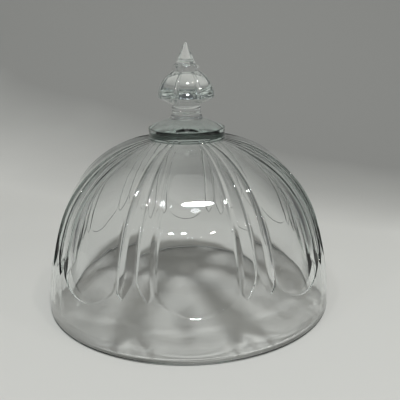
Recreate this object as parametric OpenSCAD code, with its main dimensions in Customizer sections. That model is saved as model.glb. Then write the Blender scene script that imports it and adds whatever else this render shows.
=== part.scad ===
// Pressed-glass cake stand dome. Millimetres, +Z up, origin on the axis in the plane of the rim.

/* [Dome wall] */

// outer diameter across the ground rim
rim_d = 280; // [230:5:340]
// width of the flat ground face of the rim
rim_t = 4; // [3:0.5:6]
// glass thickness at a petal's edge, over the shoulder
wall_t = 8; // [6.5:0.5:10]
// radius of the side's upright curve
side_arc_r = 300; // [250:10:380]
// angle that the side's curve turns through before the shoulder
side_arc_deg = 18; // [15:0.5:20]
// radius of the shoulder's curve
shoulder_arc_r = 108; // [85:1:130]
// bevel on the rim's two edges
rim_bevel = 1.2; // [0.3:0.1:1.6]

/* [Petals and grooves] */

// number of petals round the wall
petal_count = 8; // [6:1:10]
// angle from a petal's middle to its edge
petal_half_deg = 15.1; // [13:0.1:16]
// angle from the ridge between two petals to each groove beside it
groove_off_deg = 4.9; // [3.5:0.1:5.5]
// depth of a groove where the wall is widest
groove_depth = 2.3; // [1.5:0.1:3]
// angle of the narrow land left between neighbouring flats of the wall
land_deg = 0.5; // [0.3:0.1:0.8]
// height of a petal's rounded bottom
petal_toe_z = 40; // [30:1:46]
// height at which a petal is at its full width
petal_full_z = 57; // [50:1:66]
// height of a groove's pointed bottom
groove_toe_z = 51; // [40:1:54]
// height of the peak between two grooves
ridge_full_z = 69.5; // [62:0.5:76]
// angle by which the petals are turned round the axis
petal_turn_deg = 3; // [0:1:44]

/* [Collar] */

// radius of the collar's upright edge
collar_r = 36.5; // [30:0.5:42]
// height of the collar's upright edge above the crown
collar_edge_h = 10.2; // [8:0.2:14]
// height of the conical top above the collar's edge
cone_h = 7.6; // [5:0.2:9]
// width of the flat seat left round the knob's foot, on top of the cone
seat_margin = 0.5; // [0.3:0.1:2]

/* [Knob joint] */

// radius of the knob's spigot
spigot_r = 8; // [6:0.5:10]
// length of the spigot below the knob's foot
spigot_h = 7.5; // [5:0.5:10]
// thickness of the clear bond on every side of the joint
bond_t = 0.4; // [0.2:0.1:0.6]

/* [Knob] */

// radius of the knob's foot
foot_r = 15.5; // [13.5:0.5:18]
// height of the foot
foot_h = 3.4; // [2.5:0.1:5]
// how much narrower the foot is at its top
foot_taper = 0.8; // [0.4:0.1:1.2]
// radius of the neck's two rings
neck_r = 13.8; // [12:0.2:15]
// height of the neck
neck_h = 9; // [7:0.5:12]
// depth of the round groove between the neck's rings
neck_groove = 1; // [0.5:0.1:1.5]
// height of the conical underside of the bulb
under_h = 7.4; // [5:0.2:10]
// radius of the bulb at its widest edge
bulb_r = 26.5; // [23:0.5:30]
// radius of the arc of the bulb's side
bulb_arc_r = 27.6; // [24:0.2:34]
// radius of the bulb where its top meets the scalloped ring
bulb_top_r = 12.6; // [11:0.2:14]
// number of lobes on the bulb, and of scallops on the ring
lobe_count = 8; // [6:1:10]
// radius of the rounded cutter that divides two lobes
lobe_cut_r = 2; // [1.4:0.1:2.6]
// depth of the cut between two lobes
lobe_cut_depth = 1.2; // [0.8:0.1:1.5]
// height of the scalloped ring's middle above the bulb
ring_rise = 3; // [2.2:0.1:3.4]
// radius of each scallop of the ring
scallop_r = 3.8; // [3:0.1:4.4]
// height of the spire above the ring
spire_h = 21.5; // [16:0.5:26]
// radius of the spire where it leaves the ring
spire_r = 10.2; // [8:0.2:10.8]
// radius of the spire's rounded tip
tip_r = 1.6; // [1.2:0.1:2.2]

/* [Hidden] */

$fn = 96;
// segments of the wall's long curves
fine = 200;
// bodies of one solid overlap by this much
eps = 0.01;
// cutters reach past what they cut by this much
past = 1;
// a cutter's outer limit, well outside the wall
far = rim_d / 2 + 30;
rim_r = rim_d / 2;
// the wall stands upright this far below the rim's plane, which gives the rim its draft
draft_z = -3;

// side curve, then shoulder curve tangent to it
side_c = [rim_r - sqrt(side_arc_r ^ 2 - draft_z ^ 2), draft_z];
joint = side_c + side_arc_r * [cos(side_arc_deg), sin(side_arc_deg)];
shoulder_c = joint - shoulder_arc_r * [cos(side_arc_deg), sin(side_arc_deg)];
crown_z = shoulder_c.y + shoulder_arc_r;

// the inside's side curve is tangent to the inside's shoulder curve and meets the rim's inner edge
in_joint = joint - wall_t * [cos(side_arc_deg), sin(side_arc_deg)];
in_chord = [rim_r - rim_t, 0] - in_joint;
in_side_r = -(in_chord * in_chord) / (2 * (in_chord * [cos(side_arc_deg), sin(side_arc_deg)]));
in_side_c = in_joint - in_side_r * [cos(side_arc_deg), sin(side_arc_deg)];
in_shoulder_r = shoulder_arc_r - wall_t;

// the bulb's side is one arc that stands upright at its widest edge
bulb_c = bulb_r - bulb_arc_r;
bulb_top_z = sqrt(bulb_arc_r ^ 2 - (bulb_top_r - bulb_c) ^ 2);

// heights up the axis
collar_base_z = wall_z(collar_r);
collar_top_z = collar_base_z + collar_edge_h;
seat_r = foot_r + seat_margin;
seat_z = collar_top_z + cone_h;
foot_z = seat_z + bond_t;
neck_z = foot_z + foot_h;
under_z = neck_z + neck_h;
bulb_z = under_z + under_h;
ring_z = bulb_z + bulb_top_z + ring_rise;
spire_z = ring_z + scallop_r / 2;
tip_z = spire_z + spire_h;
socket_r = spigot_r + bond_t;
socket_z = foot_z - spigot_h - bond_t;

// angles and factors of the flats that shape the wall
pitch_deg = 360 / petal_count;
ridge_deg = pitch_deg / 2;
groove_deg = ridge_deg - groove_off_deg;
groove_k = 1 - groove_depth / rim_r;
// tangent curves cross by this much, so no sliver is left where they meet
lap = 0.02;
// the flats end this far inside the collar
flat_end_r = collar_r - 4;
inner_flat = flat_through(1, ridge_deg - land_deg / 2, groove_k, groove_deg);
outer_flat = flat_through(groove_k, groove_deg, 1, petal_half_deg + land_deg);

// height of the wall's outer curve at radius r, over the shoulder
function wall_z(r) = r < shoulder_c.x ? crown_z
    : shoulder_c.y + sqrt(shoulder_arc_r ^ 2 - (r - shoulder_c.x) ^ 2);

// radius of the wall's outer curve at height z
function wall_r(z) = z < joint.y
    ? side_c.x + sqrt(side_arc_r ^ 2 - (z - side_c.y) ^ 2)
    : shoulder_c.x + sqrt(max(0, shoulder_arc_r ^ 2 - (z - shoulder_c.y) ^ 2));

// a flat through two points of the plan, each a radius factor and an angle: [its bearing, its factor]
function flat_through(k1, a1, k2, a2) =
    let (p = k1 * [cos(a1), sin(a1)], q = k2 * [cos(a2), sin(a2)], d = p - q,
         bearing = atan2(-d.x, d.y), k = p * [cos(bearing), sin(bearing)])
    k > 0 ? [bearing, k] : [bearing + 180, -k];

// centre of the circle through three points
function centre3(a, b, c) =
    let (u = b - a, v = c - a, d = 2 * cross(u, v), uu = u * u, vv = v * v)
    a + [v.y * uu - u.y * vv, u.x * vv - v.x * uu] / d;

// the wall's curve between two heights, drawn in towards the axis by the factor k, as a filled circle
// whose radius is larger by the amount more
module drawn_in(k, z_low, z_high, more = 0) {
    z_mid = (z_low + z_high) / 2;
    a = [k * wall_r(z_low), z_low];
    b = [k * wall_r(z_mid), z_mid];
    c = [k * wall_r(z_high), z_high];
    m = centre3(a, b, c);
    translate(m) circle(norm(a - m) + more, $fn = fine);
}

// outline of what one flat removes: all beyond the wall's curve drawn in by k, down to a straight
// run-out that meets the wall at toe_z
module beyond(k, full_z, toe_k, toe_z) {
    full = [k * wall_r(full_z), full_z];
    toe = [toe_k * wall_r(toe_z), toe_z];
    slope = (toe - full) / (toe.x - full.x);
    low = full + slope * (far - full.x);
    high = full - slope * 2 * past;
    difference() {
        translate([flat_end_r, 0]) square([far - flat_end_r, crown_z + past]);
        intersection() {
            drawn_in(k, full_z, joint.y);
            translate([0, full_z - past]) square([far, joint.y - full_z + past]);
        }
        intersection() {
            drawn_in(k, joint.y, wall_z(flat_end_r / k), lap);
            translate([0, full_z - past]) square([far, far]);
        }
        polygon([[0, 0], [0, high.y], high, low, [far, 0]]);
    }
}

// the same as a solid, standing on the given bearing
module flat_cut(flat, full_z, toe_k, toe_z) {
    rotate(flat[0])
        rotate([90, 0, 0])
            translate([0, 0, -rim_r / 2])
                linear_extrude(rim_r) beyond(flat[1], full_z, toe_k, toe_z);
}

module petal_cut() {
    flat_cut([0, cos(petal_half_deg)], petal_full_z, 1, petal_toe_z);
}

module groove_cut() {
    intersection() {
        flat_cut(inner_flat, ridge_full_z, cos(groove_deg - inner_flat[0]), groove_toe_z);
        flat_cut(outer_flat, petal_full_z, cos(groove_deg - outer_flat[0]), groove_toe_z);
    }
}

// outline bounded by a side curve below the height z, a shoulder curve tangent to it, and a flat crown
module two_curves(side_m, side_r, shoulder_r, z) {
    intersection() {
        translate(side_m) circle(side_r, $fn = fine);
        square([far, z]);
    }
    intersection() {
        translate(shoulder_c) circle(shoulder_r + lap, $fn = fine);
        square([far, far]);
    }
    square([shoulder_c.x, shoulder_c.y + shoulder_r]);
}

// outline of the wall's outside, filled to the axis
module outside_outline() {
    difference() {
        two_curves(side_c, side_arc_r, shoulder_arc_r, joint.y);
        polygon([[rim_r - rim_bevel, -past], [rim_r - rim_bevel, 0], [rim_r + past, rim_bevel + past], [far, -past]]);
    }
}

// outline of the hollow, filled to the axis
module inside_outline() {
    edge = rim_r - rim_t;
    two_curves(in_side_c, in_side_r, in_shoulder_r, in_joint.y);
    polygon([[0, -past], [edge + rim_bevel + past, -past], [edge - past, rim_bevel + past], [0, rim_bevel + past]]);
}

module collar() {
    base_z = crown_z - wall_t / 2;
    rotate_extrude()
        polygon([[0, base_z], [collar_r, base_z], [collar_r, collar_top_z], [seat_r, seat_z], [0, seat_z]]);
}

module dome_shell() {
    color([0.80, 0.90, 0.88, 0.45])
    difference() {
        union() {
            difference() {
                rotate_extrude() outside_outline();
                for (i = [0 : petal_count - 1])
                    rotate(i * pitch_deg + petal_turn_deg - 90) {
                        petal_cut();
                        groove_cut();
                        mirror([0, 1, 0]) groove_cut();
                    }
            }
            collar();
        }
        rotate_extrude() inside_outline();
        translate([0, 0, socket_z]) cylinder(seat_z - socket_z + past, r = socket_r);
    }
}

// one round cutter that follows the bulb's arc and divides two lobes
module lobe_cut() {
    // the cutter starts below the bulb's widest edge
    start_deg = -10;
    end_deg = acos((bulb_top_r - bulb_c) / bulb_arc_r);
    translate([bulb_c, 0, bulb_z])
        rotate([90, 0, 0])
            rotate([0, 0, start_deg])
                rotate_extrude(angle = end_deg - start_deg)
                    translate([bulb_arc_r + lobe_cut_r - lobe_cut_depth, 0]) circle(lobe_cut_r);
}

module bulb() {
    difference() {
        union() {
            translate([0, 0, under_z]) cylinder(under_h, neck_r - neck_groove, bulb_r);
            rotate_extrude()
                intersection() {
                    translate([bulb_c, bulb_z]) circle(bulb_arc_r);
                    translate([0, bulb_z - eps]) square([bulb_r, bulb_top_z + eps]);
                }
        }
        for (i = [0 : lobe_count - 1])
            rotate((i + 0.5) * 360 / lobe_count + petal_turn_deg - 90) lobe_cut();
    }
}

module neck() {
    cutter_r = 1.3 * neck_groove;
    difference() {
        translate([0, 0, neck_z - eps]) cylinder(neck_h + 2 * eps, r = neck_r);
        translate([0, 0, neck_z + neck_h / 2])
            rotate_extrude() translate([neck_r + cutter_r - neck_groove, 0]) circle(cutter_r);
    }
}

module spire() {
    core_z = ring_z - ring_rise - eps;
    translate([0, 0, core_z]) cylinder(spire_z - core_z + eps, r = spire_r);
    translate([0, 0, spire_z]) cylinder(spire_h - tip_r, spire_r, tip_r);
    translate([0, 0, tip_z - tip_r]) sphere(tip_r);
}

module finial() {
    color([0.78, 0.90, 0.88, 0.5]) {
        translate([0, 0, foot_z - spigot_h]) cylinder(spigot_h + eps, r = spigot_r);
        translate([0, 0, foot_z]) cylinder(foot_h, foot_r, foot_r - foot_taper);
        neck();
        bulb();
        for (i = [0 : lobe_count - 1])
            rotate(i * 360 / lobe_count + petal_turn_deg - 90)
                translate([bulb_top_r - scallop_r, 0, ring_z]) sphere(scallop_r);
        spire();
    }
}

module finial_bond() {
    color([0.95, 0.95, 0.90, 0.4])
    difference() {
        union() {
            translate([0, 0, socket_z]) cylinder(seat_z - socket_z, r = socket_r);
            translate([0, 0, seat_z]) cylinder(bond_t, r = foot_r);
        }
        translate([0, 0, foot_z - spigot_h]) cylinder(spigot_h + past, r = spigot_r);
    }
}

dome_shell();
finial();
finial_bond();
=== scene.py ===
import bpy
import math
import numpy as np
from mathutils import Matrix, Vector


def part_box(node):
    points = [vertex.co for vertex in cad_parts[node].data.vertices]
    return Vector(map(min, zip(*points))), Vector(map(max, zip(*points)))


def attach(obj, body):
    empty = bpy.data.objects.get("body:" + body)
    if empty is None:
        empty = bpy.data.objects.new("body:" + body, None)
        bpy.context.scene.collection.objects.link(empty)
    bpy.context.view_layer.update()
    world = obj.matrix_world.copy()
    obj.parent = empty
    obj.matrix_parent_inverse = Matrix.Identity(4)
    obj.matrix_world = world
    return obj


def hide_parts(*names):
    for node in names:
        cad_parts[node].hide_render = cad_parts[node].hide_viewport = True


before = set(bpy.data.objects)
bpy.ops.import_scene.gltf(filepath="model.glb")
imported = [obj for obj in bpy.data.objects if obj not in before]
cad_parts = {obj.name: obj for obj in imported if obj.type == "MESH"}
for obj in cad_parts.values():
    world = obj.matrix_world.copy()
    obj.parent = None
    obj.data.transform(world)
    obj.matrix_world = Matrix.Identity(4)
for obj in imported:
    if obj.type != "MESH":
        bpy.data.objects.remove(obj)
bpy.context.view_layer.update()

# ---------------------------------------------------------------- sizes, in metres

MM = 0.001

# the wall's outline
RIM_R = 139.94 * MM
RIM_T = 4.6 * MM
RIM_ROUND = 2.1 * MM
RIM_INNER_ROUND = 2.2 * MM
WALL_T = 8 * MM
SIDE_R = 300 * MM
SIDE_TURN = math.radians(18)
SIDE_C_Z = -3 * MM
SHOULDER_R = 108 * MM
CEILING_TURN = math.radians(30)

# the petals and the grooves between them
PETALS = 8
PETAL_TURN = math.radians(3)
PETAL_HALF = math.radians(15.1)
PETAL_FLATNESS = 0.65
PETAL_TOE_Z = 40 * MM
PETAL_FULL_Z = 57 * MM
GROOVE_AT = math.radians(17.6)
GROOVE_DEPTH = 2.3 * MM
GROOVE_TOE_Z = 51 * MM
RIDGE_FULL_Z = 69.5 * MM
LAND = math.radians(0.25)
RUN_OUT_MARGIN = 3 * MM

# how softly the pattern starts: a step at its lip, wider and rounder up on the crests
LIP_STEP = 1.15 * MM
PETAL_LIP_STEP = 0.55 * MM
LIP_RUN = 0.17 * MM
CREST_RUN = 0.38 * MM
CREST_RISE = 30 * MM
CREST_SOFT = 0.12 * MM
EDGE_SOFT = 0.4 * MM

# collar and conical top
COLLAR_R = 36.5 * MM
COLLAR_H = 10.2 * MM
COLLAR_SOFT = 0.9 * MM
SEAT_R = 16 * MM
SEAT_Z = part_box("dome_shell")[1][2]

# knob
LOBES = 8
BOND_T = 0.4 * MM
FOOT_R = 15.5 * MM
FOOT_H = 3.4 * MM
FOOT_ROUND = 0.5 * MM
NECK_R = 13.8 * MM
NECK_H = 9 * MM
NECK_GROOVE = 1.0 * MM
UNDER_H = 7.4 * MM
UNDER_CUT = 0.7 * MM
BULB_R = 26.5 * MM
BULB_ARC = 27.6 * MM
BULB_TOP_R = 12.6 * MM
BULB_CUT = 1.8 * MM
RING_RISE = 3 * MM
SCALLOP_R = 3.8 * MM
SCALLOP_LOW = 0.45
SCALLOP_CORE_R = 8.6 * MM
SPIRE_R = 10.2 * MM
TIP_R = 1.6 * MM
TIP_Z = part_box("finial")[1][2]

# ---------------------------------------------------------------- outline of the wall

SIDE_C = (RIM_R - math.sqrt(SIDE_R ** 2 - SIDE_C_Z ** 2), SIDE_C_Z)
JOINT = (SIDE_C[0] + SIDE_R * math.cos(SIDE_TURN), SIDE_C[1] + SIDE_R * math.sin(SIDE_TURN))
SHOULDER_C = (
    JOINT[0] - SHOULDER_R * math.cos(SIDE_TURN),
    JOINT[1] - SHOULDER_R * math.sin(SIDE_TURN),
)


def wall_radius(z):
    """Radius of the wall's outer curve at height z."""
    side = SIDE_C[0] + np.sqrt(np.maximum(SIDE_R ** 2 - (z - SIDE_C[1]) ** 2, 0))
    shoulder = SHOULDER_C[0] + np.sqrt(np.maximum(SHOULDER_R ** 2 - (z - SHOULDER_C[1]) ** 2, 0))
    return np.where(z < JOINT[1], side, shoulder)


def arc(centre, radius, start, end, count):
    """Points of an arc in the (radius, height) plane."""
    t = np.linspace(start, end, count)
    return np.stack([centre[0] + radius * np.cos(t), centre[1] + radius * np.sin(t)], 1)


# ---------------------------------------------------------------- relief of the petals

def soft_min(a, b, r):
    """Smaller of two depths, with the crease between them rounded over about r."""
    h = np.clip(0.5 + 0.5 * (b - a) / r, 0, 1)
    return b * (1 - h) + a * h - r * h * (1 - h)


def soft_max(a, b, r):
    """Larger of two depths, rounded in the same way."""
    return -soft_min(-a, -b, r)


def flat_through(k1, a1, k2, a2):
    """Bearing and distance factor of the flat through two points of the plan."""
    p = np.array([k1 * math.cos(a1), k1 * math.sin(a1)])
    q = np.array([k2 * math.cos(a2), k2 * math.sin(a2)])
    d = p - q
    bearing = math.atan2(-d[0], d[1])
    k = p[0] * math.cos(bearing) + p[1] * math.sin(bearing)
    return (bearing, k) if k > 0 else (bearing + math.pi, -k)


RIDGE = math.pi / PETALS
GROOVE_K = 1 - GROOVE_DEPTH / RIM_R
PETAL_FLAT = (0.0, math.cos(PETAL_HALF))
INNER_FLAT = flat_through(1, RIDGE - LAND, GROOVE_K, GROOVE_AT)
OUTER_FLAT = flat_through(GROOVE_K, GROOVE_AT, 1, PETAL_HALF + LAND)


def run_out_depth(u, z, flat, full_z, toe_at, toe_z):
    """Depth of a flat's straight run-out under the wall's outer curve."""
    bearing, k = flat
    full = k * wall_radius(np.array(full_z))
    toe = math.cos(toe_at - bearing) * wall_radius(np.array(toe_z))
    reach = toe + (full - toe) * (z - toe_z) / (full_z - toe_z)
    return wall_radius(z) - reach / np.cos(u - bearing)


def solve_height(starts_inside, low, high):
    """Height at which starts_inside(z) turns true, for every bearing at once."""
    halvings = 36
    for _ in range(halvings):
        mid = (low + high) / 2
        inside = starts_inside(mid)
        high = np.where(inside, mid, high)
        low = np.where(inside, low, mid)
    return low


def groove_side(a, z, flat, full_z):
    """Depth of one side of the groove, which runs out below full_z."""
    body = wall_radius(z) * (1 - flat[1] / np.cos(a - flat[0]))
    run_out = run_out_depth(a, z, flat, full_z, GROOVE_AT, GROOVE_TOE_Z)
    limit = np.where(z > full_z + RUN_OUT_MARGIN, body + EDGE_SOFT, run_out)
    return soft_min(body, limit, EDGE_SOFT)


def groove_depth_at(a, z):
    """Depth of the V groove and its ridge, negative where its sides pass outside the wall."""
    inner = groove_side(a, z, INNER_FLAT, RIDGE_FULL_Z)
    outer = groove_side(a, z, OUTER_FLAT, PETAL_FULL_Z)
    return soft_min(inner, outer, EDGE_SOFT)


def petal_lip(a):
    """Height of the petal's rounded bottom at bearing a."""
    low = np.full_like(a, PETAL_TOE_Z - 2 * MM)
    high = np.full_like(a, PETAL_FULL_Z)
    a = np.minimum(a, PETAL_HALF)
    return solve_height(
        lambda z: run_out_depth(a, z, PETAL_FLAT, PETAL_FULL_Z, 0.0, PETAL_TOE_Z) > 0, low, high
    )


def petal_depth_at(a, z):
    """Depth of the petal's nearly flat panel, scooped out above its rounded bottom."""
    full_at = 2
    body = PETAL_FLATNESS * wall_radius(z) * (1 - PETAL_FLAT[1] / np.cos(a))
    s = np.clip((z - petal_lip(a)) / (PETAL_FULL_Z - PETAL_TOE_Z), -1, full_at)
    return body * (s - s * np.abs(s) / (2 * full_at))


def raw_depth(u, z):
    """Depth of the pattern before its lip, negative where it hasn't started."""
    a = np.abs(u)
    return np.where(a < PETAL_HALF, petal_depth_at(a, z), groove_depth_at(a, z))


def relief_depth(u, z):
    """Depth of the pattern under the wall's outer curve, for u measured from a petal's middle."""
    raw = raw_depth(u, z)
    up = np.clip((z - RIDGE_FULL_Z) / CREST_RISE, 0, 1)
    run = LIP_RUN + (CREST_RUN - LIP_RUN) * up
    t = np.clip(raw / run, 0, 1)
    step = np.where(np.abs(u) < PETAL_HALF, PETAL_LIP_STEP, LIP_STEP)
    return soft_max(raw, np.zeros_like(raw), CREST_SOFT) + step * t * t * (3 - 2 * t)


def lip_height(u):
    """Height at which the pattern starts at bearing u, along its pointed and rounded bottoms."""
    a = np.abs(u)
    low = np.full_like(a, 45 * MM)
    high = np.full_like(a, RIDGE_FULL_Z)
    groove = solve_height(lambda z: groove_depth_at(a, z) > 0, low, high)
    return np.where(a < PETAL_HALF, petal_lip(a), groove)


# ---------------------------------------------------------------- mesh helpers

def ring_maker(bearing):
    """A function that makes a ring of points from a radius and a height, each single or per bearing."""
    cos = np.cos(bearing)
    sin = np.sin(bearing)

    def ring(r, z):
        r = np.broadcast_to(r, cos.shape)
        return np.stack([r * cos, r * sin, np.broadcast_to(z, cos.shape)], 1)

    return ring


def turned(name, rings):
    """A closed object through rings of equally many points; its two end rings close to a point."""
    count = len(rings[0])
    ends = [np.mean(rings[0], axis=0), np.mean(rings[-1], axis=0)]
    points = np.concatenate(rings)
    verts = np.concatenate([points, ends])
    i = np.arange(count)
    j = (i + 1) % count
    faces = []
    for r in range(len(rings) - 1):
        a = r * count
        b = a + count
        faces.append(np.stack([a + i, a + j, b + j, b + i], 1))
    quads = np.concatenate(faces)
    last = (len(rings) - 1) * count
    caps = np.concatenate([
        np.stack([np.full(count, len(points)), j, i], 1),
        np.stack([np.full(count, len(points) + 1), last + i, last + j], 1),
    ])
    mesh = bpy.data.meshes.new(name)
    mesh.vertices.add(len(verts))
    mesh.vertices.foreach_set("co", verts.astype(np.float32).ravel())
    loops = np.concatenate([quads.ravel(), caps.ravel()])
    mesh.loops.add(len(loops))
    mesh.loops.foreach_set("vertex_index", loops.astype(np.int32))
    sizes = np.concatenate([np.full(len(quads), 4), np.full(len(caps), 3)])
    starts = np.concatenate([[0], np.cumsum(sizes)[:-1]])
    mesh.polygons.add(len(sizes))
    mesh.polygons.foreach_set("loop_start", starts.astype(np.int32))
    mesh.polygons.foreach_set("use_smooth", np.ones(len(sizes), dtype=bool))
    mesh.update(calc_edges=True)
    mesh.validate()
    piece = bpy.data.objects.new(name, mesh)
    bpy.context.scene.collection.objects.link(piece)
    return piece


# from a petal's middle to the ridge: where each span of bearings ends, and its number of columns
SPANS = (
    (0.19, 6),
    (PETAL_HALF - 0.028, 3),
    (PETAL_HALF + 0.012, 10),
    (GROOVE_AT - 0.012, 2),
    (GROOVE_AT + 0.012, 7),
    (RIDGE - 0.026, 3),
    (RIDGE, 7),
)


def bearings():
    """Bearings round the wall, closer together where the pattern has an edge, and each one's own u."""
    half = []
    start = 0
    for end, count in SPANS:
        half.append(np.linspace(start, end, count, endpoint=False))
        start = end
    half = np.concatenate(half)
    one = np.concatenate([-half[:0:-1], half, [RIDGE]])
    return np.concatenate([one + n * 2 * RIDGE for n in range(PETALS)]), np.tile(one, PETALS)


# ---------------------------------------------------------------- the shell

INNER_EDGE = RIM_R - RIM_T


def rim_rings(ring):
    """The rim's face from inside out, between its two rounded edges."""
    rings = []
    for t in np.linspace(0.25, math.pi / 2, 5)[::-1]:
        across = RIM_INNER_ROUND * (1 - math.sin(t))
        rings.append(ring(INNER_EDGE + across, RIM_INNER_ROUND * (1 - math.cos(t))))
    for r in np.linspace(INNER_EDGE + RIM_INNER_ROUND, RIM_R - RIM_ROUND, 3):
        rings.append(ring(r, 0.0))
    for t in np.linspace(0.3, math.pi / 2, 4):
        rings.append(ring(RIM_R - RIM_ROUND + RIM_ROUND * math.sin(t), RIM_ROUND * (1 - math.cos(t))))
    return rings


# rows as shares of the plain band's height, then as millimetres above the lip
BAND_SHARES = (0, 0.008, 0.05, 0.3, 0.65)
LIP_ROWS = (-0.4, -0.1, 0.05, 0.15, 0.25, 0.35, 0.5, 0.65, 0.8, 1.0, 1.3, 2.0, 3.2)
BAND_TOP = 0.5 * MM
SIDE_ROWS = 19
SIDE_GATHER = 1.15
SHOULDER_ROWS = 43


def wall_rings(ring, u, path):
    """The wall with its relief; its rows gather along the curve of the pattern's bottoms."""
    lip = lip_height(u)
    rows = [RIM_ROUND + (lip - BAND_TOP - RIM_ROUND) * k for k in BAND_SHARES]
    rows += [lip + d * MM for d in LIP_ROWS]
    side_start = LIP_ROWS[-1] * MM
    for k in np.linspace(0, 1, SIDE_ROWS)[1:]:
        rows.append(lip + side_start + (JOINT[1] - lip - side_start) * k ** SIDE_GATHER)
    rings = [ring(wall_radius(z) - relief_depth(u, z), z) for z in rows]
    rings += [ring(r - relief_depth(u, np.full_like(u, z)), z) for r, z in path[1:]]
    return rings


def collar_rings(ring, crown_z):
    """The collar's upright edge, its softened arris, the conical top and the seat."""
    collar_top = crown_z + COLLAR_H
    rings = [ring(COLLAR_R, z) for z in np.linspace(crown_z + 0.5 * MM, collar_top - COLLAR_SOFT, 5)]
    slope = math.atan2(SEAT_Z - collar_top, COLLAR_R - SEAT_R)
    for t in np.linspace(0.25, 1, 4) * (math.pi / 2 - slope):
        r = COLLAR_R - COLLAR_SOFT * (1 - math.cos(t))
        rings.append(ring(r, collar_top - COLLAR_SOFT * (1 - math.sin(t))))
    for k in (0.5, 1.0):
        r = COLLAR_R - COLLAR_SOFT + (SEAT_R - COLLAR_R + COLLAR_SOFT) * k
        rings.append(ring(r, collar_top + (SEAT_Z - collar_top) * k))
    rings += [ring(SEAT_R * k, SEAT_Z) for k in (0.7, 0.3)]
    return rings


def inside_rings(ring):
    """The inside from the rim up: a curve tangent to the shoulder's inside, then an arched ceiling."""
    n = (math.cos(SIDE_TURN), math.sin(SIDE_TURN))
    joint = (JOINT[0] - WALL_T * n[0], JOINT[1] - WALL_T * n[1])
    chord = (INNER_EDGE - joint[0], -joint[1])
    side_r = -(chord[0] ** 2 + chord[1] ** 2) / (2 * (chord[0] * n[0] + chord[1] * n[1]))
    side_c = (joint[0] - side_r * n[0], joint[1] - side_r * n[1])
    start = math.asin((1.15 * RIM_INNER_ROUND - side_c[1]) / side_r)
    side = arc(side_c, side_r, start, SIDE_TURN, 7)
    shoulder = arc(SHOULDER_C, SHOULDER_R - WALL_T, SIDE_TURN, math.pi / 2 - CEILING_TURN, 46)
    ceiling_r = SHOULDER_R - WALL_T + SHOULDER_C[0] / math.sin(CEILING_TURN)
    ceiling_c = (0.0, shoulder[-1][1] - ceiling_r * math.cos(CEILING_TURN))
    ceiling = arc(ceiling_c, ceiling_r, math.pi / 2 - CEILING_TURN, math.pi / 2 - 0.01, 7)
    return [ring(r, z) for r, z in np.concatenate([side, shoulder[1:], ceiling[1:]])]


def make_shell():
    """The pressed shell as one closed skin, from the middle of its ceiling to the middle of its seat."""
    around, u = bearings()
    ring = ring_maker(around + PETAL_TURN - math.pi / 2)
    end = math.acos((COLLAR_R - SHOULDER_C[0]) / SHOULDER_R)
    path = arc(SHOULDER_C, SHOULDER_R, SIDE_TURN, end, SHOULDER_ROWS)
    outside = rim_rings(ring) + wall_rings(ring, u, path) + collar_rings(ring, path[-1][1])
    return turned("glass_dome", inside_rings(ring)[::-1] + outside)


# ---------------------------------------------------------------- the knob

FOOT_Z = SEAT_Z + BOND_T
NECK_Z = FOOT_Z + FOOT_H
UNDER_Z = NECK_Z + NECK_H
BULB_Z = UNDER_Z + UNDER_H
BULB_C = BULB_R - BULB_ARC
BULB_TOP_TURN = math.acos((BULB_TOP_R - BULB_C) / BULB_ARC)
RING_Z = BULB_Z + BULB_ARC * math.sin(BULB_TOP_TURN) + RING_RISE
SPIRE_Z = RING_Z + SCALLOP_R / 2
ROUND_Z = TIP_Z - TIP_R


def foot_rings(ring):
    """The knob's foot, from the middle of its underside to its top."""
    rings = [ring(FOOT_R * k, FOOT_Z) for k in (0.3, 0.6, 0.9, 0.97)]
    for t in np.linspace(0.2, math.pi, 7):
        r = FOOT_R - FOOT_ROUND + FOOT_ROUND * math.sin(t)
        rings.append(ring(r, FOOT_Z + 0.6 * MM - 0.6 * MM * math.cos(t)))
    rings.append(ring(FOOT_R - 0.7 * MM, NECK_Z - 0.3 * MM))
    return rings


def neck_rings(ring):
    """The neck: two soft rings with a groove between them."""
    rings = []
    for k in np.linspace(0, 1, 25):
        bead = abs(math.sin(2 * math.pi * k)) ** 0.5
        rings.append(ring(NECK_R - NECK_GROOVE * (1 - bead), NECK_Z + NECK_H * k))
    return rings


def bulb_rings(ring, cut):
    """The bulb's underside and its petalled top; cut is 1 in the middle of a cut between two lobes."""
    rings = []
    for k in np.linspace(0.08, 0.95, 10):
        r = NECK_R - NECK_GROOVE + (BULB_R - NECK_R + NECK_GROOVE) * k
        rings.append(ring(r - cut * UNDER_CUT * k, UNDER_Z + UNDER_H * k))
    for t in np.linspace(0, BULB_TOP_TURN, 34):
        r = BULB_C + BULB_ARC * math.cos(t)
        depth = BULB_CUT * cut * min(1, (r / BULB_R) ** 0.5)
        rings.append(ring(r - depth, BULB_Z + BULB_ARC * math.sin(t) + 0.15 * MM))
    return rings


def scallop_rings(ring, lobe):
    """The scalloped ring; lobe is 1 along the middle of a lobe."""
    rings = []
    core = BULB_TOP_R - SCALLOP_R
    share = SCALLOP_LOW + (1 - SCALLOP_LOW) * lobe
    for t in np.linspace(-1.15, 1.25, 15):
        neck = core if t < 0.9 else core * 0.98
        r = neck + SCALLOP_R * math.cos(t) * share
        rings.append(ring(np.maximum(r, SCALLOP_CORE_R), RING_Z + SCALLOP_R * math.sin(t)))
    return rings


def spire_rings(ring, start_z):
    """The spire and its rounded tip."""
    rings = []
    for k in np.linspace(0.06, 1, 18):
        z = start_z + (ROUND_Z - start_z) * k
        rings.append(ring(SPIRE_R + (TIP_R - SPIRE_R) * (z - SPIRE_Z) / (ROUND_Z - SPIRE_Z), z))
    for t in np.linspace(0.3, 1.45, 6):
        rings.append(ring(TIP_R * math.cos(t), ROUND_Z + TIP_R * math.sin(t)))
    return rings


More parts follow.
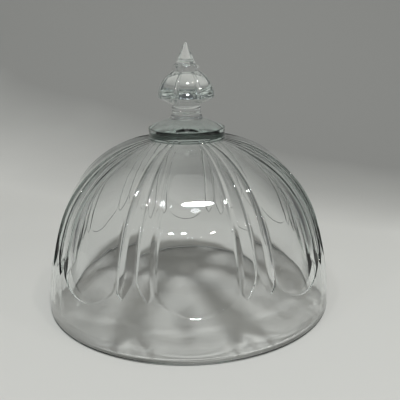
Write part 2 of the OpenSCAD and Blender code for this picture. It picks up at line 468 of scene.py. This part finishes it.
def make_knob():
    """The solid knob without its hidden spigot."""
    count = 32 * LOBES
    a = np.arange(count) * 2 * math.pi / count
    ring = ring_maker(a + PETAL_TURN - math.pi / 2)
    lobe = np.abs(np.cos(a * LOBES / 2))
    cut = 1 - np.minimum(np.abs(np.sin(a * LOBES / 2 + math.pi / 2)) * 2.4, 1) ** 0.8
    rings = foot_rings(ring) + neck_rings(ring) + bulb_rings(ring, cut) + scallop_rings(ring, lobe)
    rings += spire_rings(ring, rings[-1][0][2])
    return turned("glass_knob", rings)


def make_bond():
    """The film of bond between the knob's foot and its seat."""
    count = 96
    gap = 0.05 * MM
    low = SEAT_Z + gap
    high = SEAT_Z + BOND_T - gap
    ring = ring_maker(np.arange(count) * 2 * math.pi / count)
    outline = (
        (4, low), (10, low), (14.7, low), (14.9, (low + high) / 2), (14.7, high), (10, high), (4, high)
    )
    return turned("clear_bond_film", [ring(r * MM, z) for r, z in outline])


# ---------------------------------------------------------------- materials

def glass(name, tint, density, ior, rough, wave_scale, wave_depth):
    """Clear glass with faint marks in its roughness, soft waves and a tint that deepens with thickness."""
    mat = bpy.data.materials.new(name)
    mat.use_nodes = True
    nodes = mat.node_tree.nodes
    links = mat.node_tree.links
    shader = nodes["Principled BSDF"]
    shader.inputs["Base Color"].default_value = (1, 1, 1, 1)
    shader.inputs["Transmission Weight"].default_value = 1.0
    shader.inputs["IOR"].default_value = ior
    # faint handling marks: roughness varies a little over the surface
    coord = nodes.new("ShaderNodeTexCoord")
    marks = nodes.new("ShaderNodeTexNoise")
    marks.inputs["Scale"].default_value = 38.0
    marks.inputs["Detail"].default_value = 5.0
    marks.inputs["Roughness"].default_value = 0.62
    spread = nodes.new("ShaderNodeMapRange")
    spread.inputs["From Min"].default_value = 0.45
    spread.inputs["From Max"].default_value = 0.8
    spread.inputs["To Min"].default_value = 0.0
    spread.inputs["To Max"].default_value = rough
    links.new(coord.outputs["Object"], marks.inputs["Vector"])
    links.new(marks.outputs["Fac"], spread.inputs["Value"])
    links.new(spread.outputs["Result"], shader.inputs["Roughness"])
    # long soft waves of pressed glass
    waves = nodes.new("ShaderNodeTexNoise")
    waves.inputs["Scale"].default_value = wave_scale
    waves.inputs["Detail"].default_value = 2.0
    bump = nodes.new("ShaderNodeBump")
    bump.inputs["Strength"].default_value = 1.0
    bump.inputs["Distance"].default_value = wave_depth
    links.new(coord.outputs["Object"], waves.inputs["Vector"])
    links.new(waves.outputs["Fac"], bump.inputs["Height"])
    links.new(bump.outputs["Normal"], shader.inputs["Normal"])
    # the tint builds up with thickness
    body = nodes.new("ShaderNodeVolumeAbsorption")
    body.inputs["Color"].default_value = tint
    body.inputs["Density"].default_value = density
    links.new(body.outputs["Volume"], nodes["Material Output"].inputs["Volume"])
    return mat


def painted_shade_sheet():
    """Pale floor that darkens to grey up the backdrop, with faint cloudiness; the darkening is painted
    shade, standing in for the upright part getting less light from above.
    """
    mat = bpy.data.materials.new("painted_shade_sheet")
    mat.use_nodes = True
    nodes = mat.node_tree.nodes
    links = mat.node_tree.links
    shader = nodes["Principled BSDF"]
    shader.inputs["Roughness"].default_value = 0.85
    shader.inputs["Specular IOR Level"].default_value = 0.2
    coord = nodes.new("ShaderNodeTexCoord")
    axis = nodes.new("ShaderNodeVectorMath")
    axis.operation = "DOT_PRODUCT"
    axis.inputs[1].default_value = (0.40, 1.0, 0.0)
    noise = nodes.new("ShaderNodeTexNoise")
    noise.inputs["Scale"].default_value = 3.0
    noise.inputs["Detail"].default_value = 3.0
    drift = nodes.new("ShaderNodeMath")
    drift.operation = "MULTIPLY_ADD"
    drift.inputs[1].default_value = 0.12
    grade = nodes.new("ShaderNodeMapRange")
    grade.inputs["From Min"].default_value = 0.33
    grade.inputs["From Max"].default_value = 0.64
    # painted shade: the ramp runs from the floor's pale colour to a darker grey up the backdrop, in place
    # of the lower light falling there
    ramp = nodes.new("ShaderNodeValToRGB")
    ramp.color_ramp.elements[0].color = (0.61, 0.598, 0.56, 1)
    ramp.color_ramp.elements[1].color = (0.272, 0.268, 0.252, 1)
    links.new(coord.outputs["Object"], axis.inputs[0])
    links.new(coord.outputs["Object"], noise.inputs["Vector"])
    links.new(noise.outputs["Fac"], drift.inputs[0])
    links.new(axis.outputs["Value"], drift.inputs[2])
    links.new(drift.outputs["Value"], grade.inputs["Value"])
    links.new(grade.outputs["Result"], ramp.inputs["Fac"])
    links.new(ramp.outputs["Color"], shader.inputs["Base Color"])
    return mat


# ---------------------------------------------------------------- the pieces

AQUA = (0.80, 0.95, 0.90, 1)
STRAW = (0.95, 0.95, 0.88, 1)

shell = make_shell()
shell.data.materials.append(glass("shell_glass", AQUA, 9.0, 1.52, 0.06, 30.0, 0.2 * MM))
knob = make_knob()
knob.data.materials.append(glass("knob_glass", AQUA, 4.0, 1.52, 0.05, 45.0, 0.1 * MM))
bond = make_bond()
bond.data.materials.append(glass("clear_bond", STRAW, 4.0, 1.50, 0.05, 60.0, 0.05 * MM))

for piece, node, slot in (
    (shell, "dome_shell", "shell_glass"),
    (knob, "finial", "knob_glass"),
    (bond, "finial_bond", "clear_bond"),
):
    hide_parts(node)
    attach(piece, "root")

# ---------------------------------------------------------------- floor, light and camera

SWEEP_HALF = 3.0
SWEEP_FRONT = -3.0
SWEEP_TOP = 3.0
SWEEP_BEND = 0.6
SWEEP_BACK = 0.9


def make_sweep():
    """One sheet: floor, then a soft curve up into the backdrop."""
    xs = np.linspace(-SWEEP_HALF, SWEEP_HALF, 25)
    line = [(SWEEP_FRONT, 0.0), (-1.0, 0.0), (SWEEP_BACK - SWEEP_BEND, 0.0)]
    for t in np.linspace(0, math.pi / 2, 16)[1:]:
        y = SWEEP_BACK - SWEEP_BEND + SWEEP_BEND * math.sin(t)
        line.append((y, SWEEP_BEND - SWEEP_BEND * math.cos(t)))
    line.append((SWEEP_BACK, SWEEP_TOP))
    verts = [(x, y, z) for y, z in line for x in xs]
    n = len(xs)
    faces = [
        (r * n + c, r * n + c + 1, (r + 1) * n + c + 1, (r + 1) * n + c)
        for r in range(len(line) - 1)
        for c in range(n - 1)
    ]
    mesh = bpy.data.meshes.new("sweep")
    mesh.from_pydata(verts, [], faces)
    mesh.polygons.foreach_set("use_smooth", np.ones(len(faces), dtype=bool))
    sheet = bpy.data.objects.new("sweep", mesh)
    bpy.context.scene.collection.objects.link(sheet)
    return sheet


sweep = make_sweep()
sweep.data.materials.append(painted_shade_sheet())

DOME_MIDDLE = (0, 0, 0.12)


def area_light(name, place, aim, size_x, size_y, power, color):
    """A soft oval light that faces its aim."""
    data = bpy.data.lights.new(name, "AREA")
    data.shape = "ELLIPSE"
    data.size = size_x
    data.size_y = size_y
    data.energy = power
    data.color = color
    light = bpy.data.objects.new(name, data)
    light.location = place
    light.rotation_euler = (Vector(aim) - Vector(place)).to_track_quat("-Z", "Y").to_euler()
    bpy.context.scene.collection.objects.link(light)
    return light


def toward(azimuth, elevation, distance):
    """Place seen from the dome's middle: azimuth turns right from the front, both in degrees."""
    a = math.radians(azimuth)
    e = math.radians(elevation)
    return (
        distance * math.cos(e) * math.sin(a),
        -distance * math.cos(e) * math.cos(a),
        DOME_MIDDLE[2] + distance * math.sin(e),
    )


# ceiling panels: azimuth, elevation, distance, width, depth, power, colour
COOL = (0.93, 0.97, 1.0)
BLUE = (0.85, 0.94, 1.0)
WARM = (1.0, 0.98, 0.95)
PANELS = (
    (12, 60, 2.4, 0.42, 0.20, 39, COOL),
    (-40, 60, 2.5, 0.08, 0.16, 4, COOL),
    (48, 60, 2.5, 0.08, 0.16, 4, WARM),
    (-3, 33, 4.0, 0.08, 0.12, 3, BLUE),
    (2, 33, 4.0, 0.12, 0.14, 4, BLUE),
    (14, 32.5, 4.0, 0.08, 0.10, 3, (1.0, 0.97, 0.94)),
    (-50, 33, 3.8, 0.16, 0.20, 6, COOL),
    (60, 33, 3.8, 0.16, 0.20, 6, WARM),
    (175, 62, 2.4, 0.20, 0.20, 3, (0.95, 0.98, 1.0)),
)
for n, (azimuth, elevation, distance, wide, deep, power, color) in enumerate(PANELS):
    panel = area_light(
        f"ceiling_panel_{n}", toward(azimuth, elevation, distance), DOME_MIDDLE, wide, deep, power, color
    )
    panel.data.cycles.is_caustics_light = True
soft = area_light("overhead_softbox", (0.0, -0.1, 2.3), (0, 0.1, 0), 1.8, 1.6, 6, (1.0, 0.99, 0.96))
soft.visible_glossy = False
shell.cycles.is_caustics_caster = True
sweep.cycles.is_caustics_receiver = True

world = bpy.data.worlds.new("soft_room")
bpy.context.scene.world = world
world.use_nodes = True
world.node_tree.nodes["Background"].inputs["Color"].default_value = (0.88, 0.92, 0.96, 1)
world.node_tree.nodes["Background"].inputs["Strength"].default_value = 0.10

CAMERA_AT = Vector((0, -0.5619, 0.2688))
PITCH = math.radians(16.77)
YAW = math.radians(1.23)
ROLL = math.radians(-0.57)

camera_data = bpy.data.cameras.new("camera")
camera = bpy.data.objects.new("camera", camera_data)
bpy.context.scene.collection.objects.link(camera)
bpy.context.scene.camera = camera
camera_data.sensor_width = 36
camera_data.lens = 53.1
camera_data.clip_end = 20
ahead = Vector((math.sin(YAW) * math.cos(PITCH), math.cos(YAW) * math.cos(PITCH), -math.sin(PITCH)))
right = Vector((math.cos(YAW), -math.sin(YAW), 0))
up = right.cross(ahead)
tilted_right = right * math.cos(ROLL) + up * math.sin(ROLL)
tilted_up = up * math.cos(ROLL) - right * math.sin(ROLL)
turn = Matrix((tilted_right, tilted_up, -ahead)).transposed().to_4x4()
camera.matrix_world = Matrix.Translation(CAMERA_AT) @ turn

bpy.context.scene.view_settings.view_transform = "Standard"
cycles = bpy.context.scene.cycles
cycles.max_bounces = 32
cycles.transmission_bounces = 32
cycles.glossy_bounces = 8
cycles.diffuse_bounces = 4
cycles.transparent_max_bounces = 16
